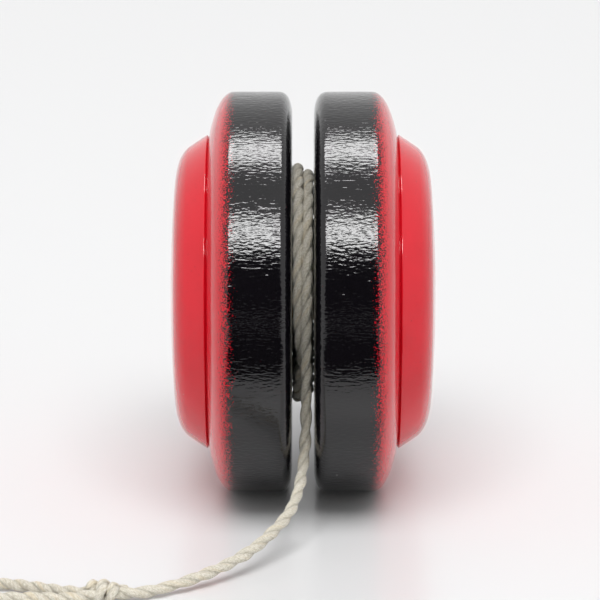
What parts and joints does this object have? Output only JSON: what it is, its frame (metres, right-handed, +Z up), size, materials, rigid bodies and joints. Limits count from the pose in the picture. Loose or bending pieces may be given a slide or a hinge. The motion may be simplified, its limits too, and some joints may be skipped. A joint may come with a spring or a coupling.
{
  "type": "yo yo",
  "caption": "Turned wooden yo-yo with a fixed axle, its cotton string wound in the gap and led out to a knotted finger loop.",
  "frame": {"origin": "point of the floor midway between the two rims, straight below the middle of the axle", "axes": "+X along the axle, +Z up, and the string leads out towards -Y"},
  "size_m": [0.0807, 0.0839, 0.057],
  "materials": {
    "enamelled_wood": "glossy red enamel with a sprayed black rim",
    "bare_wood": "unfinished hardwood",
    "cotton": "undyed twisted cotton"
  },
  "bodies": {
    "string": {"axle_loop": "cotton", "string_winding": "cotton", "string_lead": "cotton", "finger_knot": "cotton", "finger_loop": "cotton"},
    "yoyo": {"left_half": "enamelled_wood", "right_half": "enamelled_wood", "axle_dowel": "bare_wood"}
  },
  "joints": [
    {"name": "spin", "type": "hinge", "parent": "string", "child": "yoyo", "pos_m": [0, 0, 0.02851], "axis": [1, 0, 0], "continuous": true}
  ]
}
